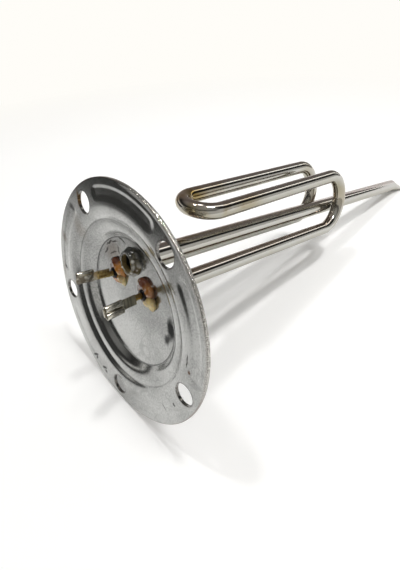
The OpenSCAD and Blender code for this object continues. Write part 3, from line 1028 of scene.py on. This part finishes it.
def bend_sheath(material):
    lean, over = math.radians(LEAN), math.radians(OVER_BEND)
    into = Vector((0, 1, 0))
    up = Vector((-math.sin(lean), 0, math.cos(lean)))
    hinge = Vector((math.cos(lean), 0, math.sin(lean)))
    back = -into * math.cos(over) - up * math.sin(over)
    centres, ends, lengths = {}, {}, {}
    run = (LEG_REACH - FAR_BEND_R * math.sin(over) - NEAR_BEND_Y) / math.cos(over)
    skew = math.sin(lean) * math.sin(over)
    for side in SIDES:
        leg_end = Vector((side * LEG_X, LEG_REACH, LEG_Z))
        centres[side] = leg_end + up * FAR_BEND_R
        start = centres[side] + FAR_BEND_R * (
            up * -math.cos(math.pi + over) + into * math.sin(math.pi + over)
        )
        lengths[side] = run if side == LEFT else run - 2 * LEG_X * skew
        ends[side] = start + back * lengths[side]
    middle = (ends[LEFT] + ends[RIGHT]) / 2
    near_hinge = (ends[LEFT] - middle).cross(back).normalized()
    first = Vector((-LEG_X, SHEATH_START, LEG_Z)) * MM
    obj = ring("sheath_tube", 40, SHEATH_R * MM, first)
    leg = into * (LEG_REACH - SHEATH_START) * MM
    push(leg)
    spin(centres[LEFT], hinge, 180 + OVER_BEND, 36)
    push(back * lengths[LEFT] * MM)
    spin(middle, near_hinge, 180, 32)
    push(back * -lengths[RIGHT] * MM)
    spin(centres[RIGHT], -hinge, 180 + OVER_BEND, 36)
    push(-leg)
    close_mesh()
    modify(obj, "SOLIDIFY", thickness=SHEATH_WALL * MM, offset=-1, use_even_offset=True)
    done(obj, material, "tube_steel", "heater_sheath")
    return obj


POCKET_Z, POCKET_R, BORE_R = 21.9, 4.75, 4.0
POCKET_MOUTH, PINCH_START, POCKET_END = 3.6, 284.2, 303.2
PINCH_W, PINCH_T = 13.0, 2.4


def close_pocket(metal, deposit, weld_metal):
    """The pocket tube, bored from its mouth and pressed flat at its end."""
    into = Vector((0, 1, 0))
    mouth = Vector((0, POCKET_MOUTH, POCKET_Z))
    obj = ring("pocket_tube", 48, POCKET_R * MM, mouth * MM)
    push(into * (PINCH_START - POCKET_MOUTH) * MM)
    # The underside stays straight while the top comes down to it
    steps = 12
    wide, thick = 1.0, 1.0
    for i in range(1, steps + 1):
        t = i / steps
        wider = min(1.0, 1.2 * t)
        next_wide = 1 + (PINCH_W / 2 / POCKET_R - 1) * wider
        next_thick = 1 + (PINCH_T / 2 / POCKET_R - 1) * t
        y = PINCH_START + (POCKET_END - PINCH_START) * t
        push(
            into * ((POCKET_END - PINCH_START) / steps * MM),
            (next_wide / wide, 1, next_thick / thick),
            Vector((0, y, POCKET_Z - POCKET_R)) * MM,
        )
        wide, thick = next_wide, next_thick
    bpy.ops.mesh.edge_face_add()
    # The bore
    at_mouth = POCKET_MOUTH * MM + 1e-6
    pick("EDGE", lambda e: all(v.co.y < at_mouth for v in e.verts))
    turn(
        Vector((0, 0, POCKET_Z)) * MM,
        into,
        [(POCKET_R, POCKET_MOUTH), (BORE_R, POCKET_MOUTH), (BORE_R, 283.2)],
    )
    bpy.ops.mesh.edge_face_add()
    close_mesh()
    done(obj, metal, "tube_steel", "sensor_pocket")
    obj.data.materials.append(deposit)
    for face in obj.data.polygons:
        away = Vector((face.center.x, 0, face.center.z - POCKET_Z * MM))
        if away.length < 4.1 * MM and face.center.y < 284 * MM:
            face.material_index = 1

    weld = begin(
        "pocket_weld",
        bpy.ops.mesh.primitive_uv_sphere_add,
        segments=48,
        ring_count=24,
        radius=MM,
        location=Vector((0, POCKET_END, POCKET_Z - POCKET_R + PINCH_T / 2)) * MM,
    )
    bpy.ops.mesh.select_all(action="SELECT")
    about = Vector((0, POCKET_END, POCKET_Z - POCKET_R + PINCH_T / 2)) * MM
    bpy.ops.transform.resize(
        value=(5.9, 0.85, PINCH_T / 2 + 0.05), center_override=about
    )
    bpy.ops.object.mode_set(mode="OBJECT")
    lumps(weld, 0.3, 1.2)
    done(weld, weld_metal, "weld_metal", "pocket_end_weld")


# ------------------------------------------------------- resin and brazing

DISC_DEPTH, DISC_BACK = 6.6, 8.1
BUSH_R, BUSH_RISE, BUSH_TIP = 2.7, 3.2, 0.7


def poured(name, drops, cell_mm, lump_mm):
    """Joins drops into one skin that lies on the disc.

    Each drop is its centre across, up and out of the disc, and its three
    half widths, in mm.
    """
    bpy.ops.object.select_all(action="DESELECT")
    balls = []
    for x, z, out, rx, rz, ry in drops:
        bpy.ops.mesh.primitive_uv_sphere_add(
            segments=40,
            ring_count=24,
            radius=1,
            location=Vector((x, DISC_DEPTH - out, z)) * MM,
        )
        ball = bpy.context.object
        ball.scale = Vector((rx, ry, rz)) * MM
        balls.append(ball)
    for ball in balls:
        ball.select_set(True)
    bpy.context.view_layer.objects.active = balls[0]
    bpy.ops.object.transform_apply(location=True, rotation=True, scale=True)
    if len(balls) > 1:
        bpy.ops.object.join()
    obj = bpy.context.object
    obj.name = obj.data.name = name
    modify(obj, "REMESH", mode="VOXEL", voxel_size=cell_mm * MM)
    modify(obj, "SMOOTH", factor=0.5, iterations=10)
    lumps(obj, lump_mm, 2.2)
    lumps(obj, lump_mm * 0.4, 0.8)
    centre = sum((v.co for v in obj.data.vertices), Vector())
    centre /= len(obj.data.vertices) * MM
    cut(obj, bar(centre.x, centre.z, 14, DISC_DEPTH - 0.02, 20))
    return obj


def bar(x, z, radius, y0, y1):
    """A plain round cutter along Y."""
    obj = ring("bar", 48, radius * MM, Vector((x, y0, z)) * MM, "NGON")
    push(Vector((0, y1 - y0, 0)) * MM)
    close_mesh()
    return obj


# Drops of the amber resin and of the cream run, from each leg's centre
AMBER = {
    LEFT: (
        (-0.2, 0.1, 0.2, 5.9, 5.9, 2.2),
        (-0.9, 4.6, 0.6, 3.1, 2.6, 2.2),
        (1.6, 2.3, 1.1, 2.6, 2.8, 1.7),
        (2.4, -1.3, 0.9, 2.4, 2.6, 1.6),
    ),
    RIGHT: (
        (-0.4, 0.4, 0.2, 5.9, 5.9, 2.2),
        (-1.4, 4.2, 0.7, 3.8, 2.9, 2.2),
        (2.7, 2.4, 0.9, 2.8, 3.2, 1.9),
        (3.4, 0.4, 0.6, 2.2, 2.2, 1.5),
    ),
}
CREAM = {
    LEFT: (
        (3.9, -1.4, 0.9, 2.1, 2.3, 1.8),
        (4.9, -2.7, 0.4, 1.6, 2.2, 1.2),
        (5.3, -4.0, 0.0, 1.0, 1.5, 0.7),
    ),
    RIGHT: (
        (2.5, -2.9, 1.2, 2.6, 2.1, 1.9),
        (4.5, -1.5, 1.3, 2.5, 2.6, 2.1),
        (4.9, -3.3, 0.7, 2.3, 2.4, 1.6),
        (4.6, -5.1, 0.1, 1.6, 1.7, 0.9),
    ),
}


def pour_resin(amber, cream, sizes):
    for side, name in SIDES.items():
        x = side * LEG_X
        for drops, piece, material, slot, node in (
            (AMBER, "seal_", amber, "amber_resin", "resin_seal_"),
            (CREAM, "run_", cream, "cream_resin", "resin_run_"),
        ):
            here = [(x + d[0], LEG_Z + d[1], *d[2:]) for d in drops[side]]
            obj = poured(piece + name, here, 0.16, sizes.resin_lumps / MM)
            cut(obj, bar(x, LEG_Z, SHEATH_R, SHEATH_START, 9))
            cut(obj, bar(x, LEG_Z, BUSH_R, -2, 9))
            done(obj, material, slot, node + name)


def mould_bushes(material):
    out = Vector((0, -1, 0))
    for side, name in SIDES.items():
        centre = Vector((side * LEG_X, DISC_DEPTH, LEG_Z)) * MM
        obj = ring("bush_" + name, 40, 3.3 * MM, centre - out * (5.6 * MM))
        turn(
            centre,
            out,
            [
                (3.3, -5.6),
                (3.3, 1.4),
                (BUSH_R, 1.4),
                (BUSH_R, 2.3),
                (2.5, 2.75),
                (2.1, 3.05),
                (1.7, 3.2),
                (1.4, 3.1),
                (1.3, 2.9),
                (1.3, -5.6),
                (3.3, -5.6),
            ],
        )
        close_mesh()
        done(obj, material, "black_bush", "insulating_bush_" + name)


def fire_collar(material, sizes):
    """The glassy collar, which also covers the end of the pocket."""
    out = Vector((0, -1, 0))
    centre = Vector((0, DISC_DEPTH, POCKET_Z)) * MM
    obj = ring("collar_glass", 72, 4.05 * MM, centre + out * (2.4 * MM))
    turn(
        centre,
        out,
        [
            (4.05, 2.4),
            (4.05, 2.9),
            (4.2, 3.25),
            (4.6, 3.4),
            (5.0, 3.3),
            (5.35, 2.95),
            (5.65, 2.5),
            (5.95, 1.9),
            (6.2, 1.3),
            (6.45, 0.7),
            (6.7, 0.0),
            (6.7, -0.02),
            (4.76, -0.02),
            (4.76, 2.4),
            (4.05, 2.4),
        ],
    )
    # The glass set higher on its right side
    for step in range(5):
        pick(
            "VERT",
            lambda v: v.co.x > (step - 1.5) * MM
            and v.co.y < (DISC_DEPTH - 2.2) * MM,
        )
        bpy.ops.transform.translate(value=(0.03 * MM, -0.12 * MM, 0))
    close_mesh()
    modify(obj, "SUBSURF", levels=1, render_levels=1)
    lumps(obj, sizes.glass_lumps / MM, 2.6)
    lumps(obj, 0.2, 0.9)
    done(obj, material, "dark_braze", "pocket_collar")


def braze_fillets(material, fillet_mm):
    into, wide = Vector((0, 1, 0)), fillet_mm
    for name, x, z, r in (
        ("leg_left", -LEG_X, LEG_Z, SHEATH_R),
        ("leg_right", LEG_X, LEG_Z, SHEATH_R),
        ("pocket", 0.0, POCKET_Z, POCKET_R),
    ):
        centre = Vector((x, DISC_BACK, z)) * MM
        curve = [
            (r + wide * (1 - math.sin(a)), wide * (1 - math.cos(a)))
            for a in [math.radians(9 * i) for i in range(11)]
        ]
        profile = [(r, -0.02), (r + wide, -0.02)] + curve
        profile += [(r, wide), (r, -0.02)]
        first = centre + into * (profile[0][1] * MM)
        obj = ring("fillet_" + name, 64, profile[0][0] * MM, first)
        turn(centre, into, profile)
        close_mesh()
        lumps(obj, 0.25, 1.5)
        done(obj, material, "pale_braze", "braze_" + name)


# ---------------------------------------------------------------- terminals

# Tilt, which way it tilts and its turn in degrees, and the bare pin in mm
TERMINALS = {LEFT: (4, 159, 180, 0.8), RIGHT: (4, -22, 18, 3.3)}
PIN_BEND_R, FLAT_X, BLADE_T = 4.0, 1.0, 0.4
STEM_W, STEM_LEN, NECK_LEN, BLADE_LEN, BLADE_LIP = 4.4, 6.2, 1.2, 7.8, 0.6
ROLL_Y, ROLL_X, ROLL_R = 1.85, 2.15, 0.95


def on_terminal(side):
    """From a terminal's own axes, Z out and X to the rolls, to the part's."""
    tilt, towards, roll, bare = TERMINALS[side]
    tilt, towards, roll = (math.radians(a) for a in (tilt, towards, roll))
    bend = Vector((1 - math.cos(tilt), 0, math.sin(tilt))) * PIN_BEND_R * MM
    face = Matrix(((1, 0, 0, 0), (0, 0, -1, 0), (0, 1, 0, 0), (0, 0, 0, 1)))
    foot = Vector((side * LEG_X, LEG_Z, BUSH_RISE - DISC_DEPTH)) * MM
    return (
        face
        @ Matrix.Translation(foot)
        @ Matrix.Rotation(towards, 4, "Z")
        @ Matrix.Translation(bend)
        @ Matrix.Rotation(tilt, 4, "Y")
        @ Matrix.Rotation(roll - towards, 4, "Z")
        @ Matrix.Translation((0, 0, bare * MM))
    )


def form_receptacle(side, material):
    """A flat blank, with its sides rolled over and its tail narrowed."""
    mid = FLAT_X + BLADE_T / 2
    low = STEM_LEN + NECK_LEN
    obj = begin(
        "receptacle_" + SIDES[side],
        bpy.ops.mesh.primitive_plane_add,
        size=MM,
        location=Vector((mid, 0, low + BLADE_LEN / 2)) * MM,
        rotation=(0, math.pi / 2, 0),
    )
    about = Vector((mid, 0, low + BLADE_LEN / 2)) * MM
    bpy.ops.mesh.select_all(action="SELECT")
    bpy.ops.transform.resize(value=(1, 2 * ROLL_Y, BLADE_LEN), center_override=about)
    for s in (1, -1):
        pick(
            "EDGE",
            lambda e: all(
                s * v.co.y > (ROLL_Y - 0.01) * MM and v.co.x < (mid + 0.01) * MM
                for v in e.verts
            ),
        )
        spin(Vector((ROLL_X, s * ROLL_Y, 0)), (0, 0, -s), 300, 20)
    # The rolls are wider than they are high, and nearly meet
    for s in (1, -1):
        pick("VERT", lambda v: v.co.x > (mid + 0.01) * MM and s * v.co.y > 0)
        bpy.ops.transform.resize(
            value=(1, 1.28, 1),
            center_override=Vector((0, s * (ROLL_Y + ROLL_R), 0)) * MM,
        )

    def flat(edge):
        return all(
            v.co.x < (mid + 0.01) * MM and abs(v.co.y) < (ROLL_Y + 0.01) * MM
            for v in edge.verts
        )

    pick(
        "EDGE",
        lambda e: flat(e)
        and all(v.co.z > (low + BLADE_LEN - 0.01) * MM for v in e.verts),
    )
    push(Vector((0, 0, BLADE_LIP)) * MM, (1, 0.92, 1), Vector((0, 0, 0)))
    pick(
        "EDGE",
        lambda e: flat(e) and all(v.co.z < (low + 0.01) * MM for v in e.verts),
    )
    push(Vector((0, 0, -NECK_LEN)) * MM, (1, STEM_W / 2 / ROLL_Y, 1), Vector((0, 0, 0)))
    for i in range(8):
        push(Vector((0, 0, -STEM_LEN / 8)) * MM)
    close_mesh()
    modify(obj, "SOLIDIFY", thickness=BLADE_T * MM, offset=0)
    modify(
        obj,
        "BEVEL",
        width=0.07 * MM,
        segments=2,
        limit_method="ANGLE",
        angle_limit=math.radians(50),
    )
    obj.matrix_world = on_terminal(side)
    done(obj, material, "plated_sheet", "blade_receptacle_" + SIDES[side])


# -------------------------------------------------------------------- stage

# The white that the camera sees round the part
ROOM_WHITE = "#fffdf8"


def studio_floor():
    """A sheet of white card under the part, tilted as the part lies."""
    floor = begin("floor_sheet", bpy.ops.mesh.primitive_plane_add, size=1.0)
    # The top of the flange mirrors the dark room past the card's front edge
    bpy.ops.mesh.select_all(action="SELECT")
    bpy.ops.transform.resize(value=(1.5, 0.95, 1.0))
    bpy.ops.transform.translate(value=(-0.2, 0.27, 0))
    bpy.ops.object.mode_set(mode="OBJECT")
    turn = Matrix((FLOOR_ACROSS, FLOOR_ALONG, FLOOR_NORMAL)).transposed().to_4x4()
    floor.matrix_world = Matrix.Translation(FLOOR_POINT) @ turn
    bpy.ops.object.transform_apply(location=True, rotation=True, scale=True)
    material, tree, where = new_material("white_card")
    # Smooth white card, with a soft unevenness too faint to read as a pattern
    mottle = add(tree, "TexNoise", {"Vector": where, "Scale": 9, "Detail": 2})
    paper = add(
        tree,
        "Mix",
        {0: mottle, 6: linear("#fcfcfc"), 7: linear("#ffffff")},
        **IN_COLOUR,
    )
    clear = add(tree, "BsdfTransparent")
    behind = add(tree, "NewGeometry", out="Backfacing")
    camera = add(tree, "LightPath", out="Is Camera Ray")
    # Painted shade: the near end of the card, which only the flange mirrors, is drawn
    # darker for all but camera rays
    near = add(
        tree,
        "VectorMath",
        {0: where, 1: FLOOR_ALONG},
        out="Value",
        operation="DOT_PRODUCT",
    )
    near = add(tree, "MapRange", {0: near, 1: -0.21, 2: -0.03, 3: 0.55, 4: 1.0})
    near = add(tree, "Math", {0: near, 1: camera}, operation="MAXIMUM")
    paper = add(tree, "Mix", {0: near, 6: linear("#000000"), 7: paper}, **IN_COLOUR)
    card = add(tree, "BsdfDiffuse", {"Color": paper})
    # The camera sees the card a little brighter, so its far parts stay white
    lift = add(tree, "Math", {0: camera, 1: 0.1}, operation="MULTIPLY")
    lift = add(tree, "Emission", {"Strength": lift})
    card = add(tree, "AddShader", {0: card, 1: lift})
    # Far off, the camera sees the card run out into the white round it
    far = add(tree, "VectorMath", {0: where}, out="Value", operation="LENGTH")
    far = add(tree, "MapRange", {0: far, 1: 0.42, 2: 0.7, 3: 0.0, 4: 1.0})
    far = add(tree, "Math", {0: far, 1: camera}, operation="MULTIPLY")
    white = add(tree, "Emission", {"Color": linear(ROOM_WHITE), "Strength": 1.0})
    card = add(tree, "MixShader", {0: far, 1: card, 2: white})
    hide = add(tree, "Math", {0: behind, 1: camera}, operation="MULTIPLY")
    both = add(tree, "MixShader", {0: hide, 1: card, 2: clear})
    add(tree, "OutputMaterial", {"Surface": both})
    floor.data.materials.append(material)


def studio_world():
    """White for the camera, a plain room for light and reflections.

    Metal shows a pale wall behind the tubes, a long lamp over them and dark
    walls elsewhere, which gives the tubes their stripes.
    """
    world = bpy.data.worlds.new("plain_room")
    world.use_nodes = True
    tree = world.node_tree
    tree.nodes.clear()
    ray = add(tree, "TexCoord", out="Generated")
    parts = add(tree, "SeparateXYZ", {0: ray}).node.outputs
    angle = add(tree, "Math", {0: parts["Z"], 1: parts["X"]}, operation="ARCTAN2")
    deg = math.radians(1)
    bands = (
        # from and to in degrees over the tubes, and the change of level
        (37, 42, -0.53),
        (62, 72, 0.17),
        (77, 79, 2.6),
        (85, 87, -2.6),
        (120, 160, 0.1),
    )
    strips = 0.55
    for start, end, change in bands:
        band = add(
            tree,
            "MapRange",
            {0: angle, 1: start * deg, 2: end * deg, 3: 0.0, 4: change},
        )
        strips = add(tree, "Math", {0: strips, 1: band}, operation="ADD")
    height = add(
        tree,
        "VectorMath",
        {0: ray, 1: FLOOR_NORMAL},
        out="Value",
        operation="DOT_PRODUCT",
    )
    # In front: a window on the left, a dark middle and a paler wall on the
    # right, all below the ceiling
    window = add(tree, "MapRange", {0: parts["X"], 1: -0.5, 2: -0.66, 3: 0.0, 4: 0.62})
    for start, end, low, high in ((0.08, 0.16, 0.0, 1.0), (0.22, 0.32, 1.0, 0.0)):
        frame_edge = add(
            tree, "MapRange", {0: height, 1: start, 2: end, 3: low, 4: high}
        )
        window = add(tree, "Math", {0: window, 1: frame_edge}, operation="MULTIPLY")
    wall = add(tree, "MapRange", {0: parts["X"], 1: 0.1, 2: 0.25, 3: 0.03, 4: 0.5})
    top = add(tree, "MapRange", {0: height, 1: 0.38, 2: 0.52, 3: 1.0, 4: 0.1})
    lit = add(tree, "Math", {0: wall, 1: top, 2: window}, operation="MULTIPLY_ADD")
    ceiling = add(tree, "MapRange", {0: height, 1: 0.52, 2: 0.78, 3: 0.02, 4: 0.28})
    front = add(tree, "Math", {0: lit, 1: ceiling}, operation="ADD")
    back = add(tree, "MapRange", {0: parts["Y"], 1: -0.1, 2: 0.25, 3: 0.0, 4: 1.0})
    level = add(tree, "Mix", {0: back, 2: front, 3: strips}, data_type="FLOAT")
    glossy = add(tree, "LightPath", out="Is Glossy Ray")
    camera = add(tree, "LightPath", out="Is Camera Ray")
    clear = add(tree, "LightPath", out="Is Transmission Ray")
    level = add(tree, "Mix", {0: glossy, 2: 0.36, 3: level}, data_type="FLOAT")
    seen = add(tree, "Math", {0: camera, 1: clear}, operation="MAXIMUM")
    level = add(tree, "Mix", {0: seen, 2: level, 3: 1.0}, data_type="FLOAT")
    sky = add(tree, "Background", {"Color": linear(ROOM_WHITE), "Strength": level})
    add(tree, "OutputWorld", {"Surface": sky})
    bpy.context.scene.world = world


# Lamps over the floor: share of the light in the middle, place across and
# along the floor from that middle, height and radius in metres, and colour
LAMPS = {
    "main_lamp": (0.36, 0.235, 0.234, 1.28, 0.075, "#fffefd"),
    "back_lamp": (0.09, 0.42, 0.37, 1.25, 0.09, "#ffffff"),
    "left_lamp": (0.14, -0.275, -0.074, 1.0, 0.04, "#fffffe"),
    "front_lamp": (0.05, -0.32, 0.27, 1.3, 0.10, "#ffffff"),
}


def studio_lamps():
    middle = FLOOR_POINT + FLOOR_ALONG * 0.08
    for name, (share, across, along, high, radius, colour) in LAMPS.items():
        place = FLOOR_ACROSS * across + FLOOR_ALONG * along + FLOOR_NORMAL * high
        bpy.ops.object.light_add(type="POINT", location=middle + place)
        lamp = bpy.context.object
        lamp.name = name
        lamp.data.shadow_soft_size = radius
        lamp.data.color = linear(colour)[:3]
        # On white card under the lamp, this power gives that share of white
        lamp.data.energy = share * 4 * math.pi**2 * place.length**3 / high


def studio_camera():
    """The photograph's camera."""
    bpy.ops.object.camera_add()
    camera = bpy.context.object
    camera.name = "photo_camera"
    right = Vector((0.6769158, 0.72731098, 0.11315359))
    down = Vector((0.4508316, -0.2881587, -0.8448168))
    ahead = Vector((-0.58183835, 0.62288306, -0.52295395))
    turn = Matrix((right, -down, -ahead)).transposed().to_4x4()
    place = Matrix.Translation((0.11740, -0.07443, 0.10008))
    camera.matrix_world = place @ turn
    camera.data.lens = 23.142
    camera.data.sensor_width = 36
    camera.data.clip_start = 0.01
    bpy.context.scene.camera = camera


class HEATER_OT_stage(bpy.types.Operator):
    """Lay the floor and set the lamps, the world and the camera"""

    bl_idname = "heater.stage"
    bl_label = "Stage"

    def execute(self, context):
        bpy.ops.object.select_all(action="DESELECT")
        studio_floor()
        studio_world()
        studio_lamps()
        studio_camera()
        context.scene.view_settings.view_transform = "Standard"
        return {"FINISHED"}


class HEATER_OT_flange(bpy.types.Operator):
    """Finish the pressed flange"""

    bl_idname = "heater.flange"
    bl_label = "Flange"

    def execute(self, context):
        scene = context.scene
        metal = pressed_stainless(scene.heater_colours, scene.heater_wear)
        press_flange(metal, scene.heater_sizes.bead_depth / MM)
        return {"FINISHED"}


class HEATER_OT_tubes(bpy.types.Operator):
    """Make the sheath and the pocket"""

    bl_idname = "heater.tubes"
    bl_label = "Tubes"

    def execute(self, context):
        scene = context.scene
        metal = drawn_tube(scene.heater_colours)
        deposit = bore_deposit()
        bend_sheath(metal)
        close_pocket(metal, deposit, weld_bead())
        return {"FINISHED"}


class HEATER_OT_terminals(bpy.types.Operator):
    """Form the receptacles and finish the pins and bushes"""

    bl_idname = "heater.terminals"
    bl_label = "Terminals"

    def execute(self, context):
        colours = context.scene.heater_colours
        brass = dull_brass()
        mould_bushes(black_bush())
        stems = {
            LEFT: tin_plate("tin_plate_left", colours, -0.0052, "#eee2c6", 0.92),
            RIGHT: tin_plate("tin_plate_right", colours, -0.0075, "#c4c0ae", 0.3),
        }
        for side, name in SIDES.items():
            form_receptacle(side, stems[side])
            dress("terminal_pin_" + name, brass)
        return {"FINISHED"}


class HEATER_OT_resin(bpy.types.Operator):
    """Pour the resin seals and their runs"""

    bl_idname = "heater.resin"
    bl_label = "Resin"

    def execute(self, context):
        colours = context.scene.heater_colours
        sizes = context.scene.heater_sizes
        pour_resin(amber_resin(colours), cream_resin(colours), sizes)
        return {"FINISHED"}


class HEATER_OT_brazing(bpy.types.Operator):
    """Fire the collar and braze the tubes"""

    bl_idname = "heater.brazing"
    bl_label = "Brazing"

    def execute(self, context):
        sizes = context.scene.heater_sizes
        fire_collar(flux_glass(), sizes)
        braze_fillets(braze_metal(), sizes.fillet / MM)
        return {"FINISHED"}


class HEATER_OT_core(bpy.types.Operator):
    """Finish the powder and the winding inside the sheath"""

    bl_idname = "heater.core"
    bl_label = "Core"

    def execute(self, context):
        dress("insulating_powder", packed_powder())
        dress("resistance_coil", winding_wire())
        return {"FINISHED"}


OPERATORS = (
    HEATER_OT_stage,
    HEATER_OT_flange,
    HEATER_OT_tubes,
    HEATER_OT_terminals,
    HEATER_OT_resin,
    HEATER_OT_brazing,
    HEATER_OT_core,
)


class HEATER_PT_panel(bpy.types.Panel):
    """The heater's pieces, sizes and colours"""

    bl_label = "Tank Heater Element"
    bl_idname = "HEATER_PT_panel"
    bl_space_type = "VIEW_3D"
    bl_region_type = "UI"
    bl_category = "Heater"

    def draw(self, context):
        for operator in OPERATORS:
            self.layout.operator(operator.bl_idname)
        scene = context.scene
        groups = (scene.heater_sizes, scene.heater_colours, scene.heater_wear)
        for group in groups:
            for name in group.__annotations__:
                self.layout.prop(group, name)


GROUPS = {
    "heater_sizes": HeaterSizes,
    "heater_colours": HeaterColours,
    "heater_wear": HeaterWear,
}
CLASSES = (*GROUPS.values(), *OPERATORS, HEATER_PT_panel)


def register():
    for cls in CLASSES:
        bpy.utils.register_class(cls)
    for name, group in GROUPS.items():
        pointer = bpy.props.PointerProperty(type=group)
        setattr(bpy.types.Scene, name, pointer)


def unregister():
    for name in GROUPS:
        delattr(bpy.types.Scene, name)
    for cls in reversed(CLASSES):
        bpy.utils.unregister_class(cls)


def main():
    register()
    for operator in OPERATORS:
        group, name = operator.bl_idname.split(".")
        getattr(getattr(bpy.ops, group), name)()


if __name__ == "__main__":
    main()
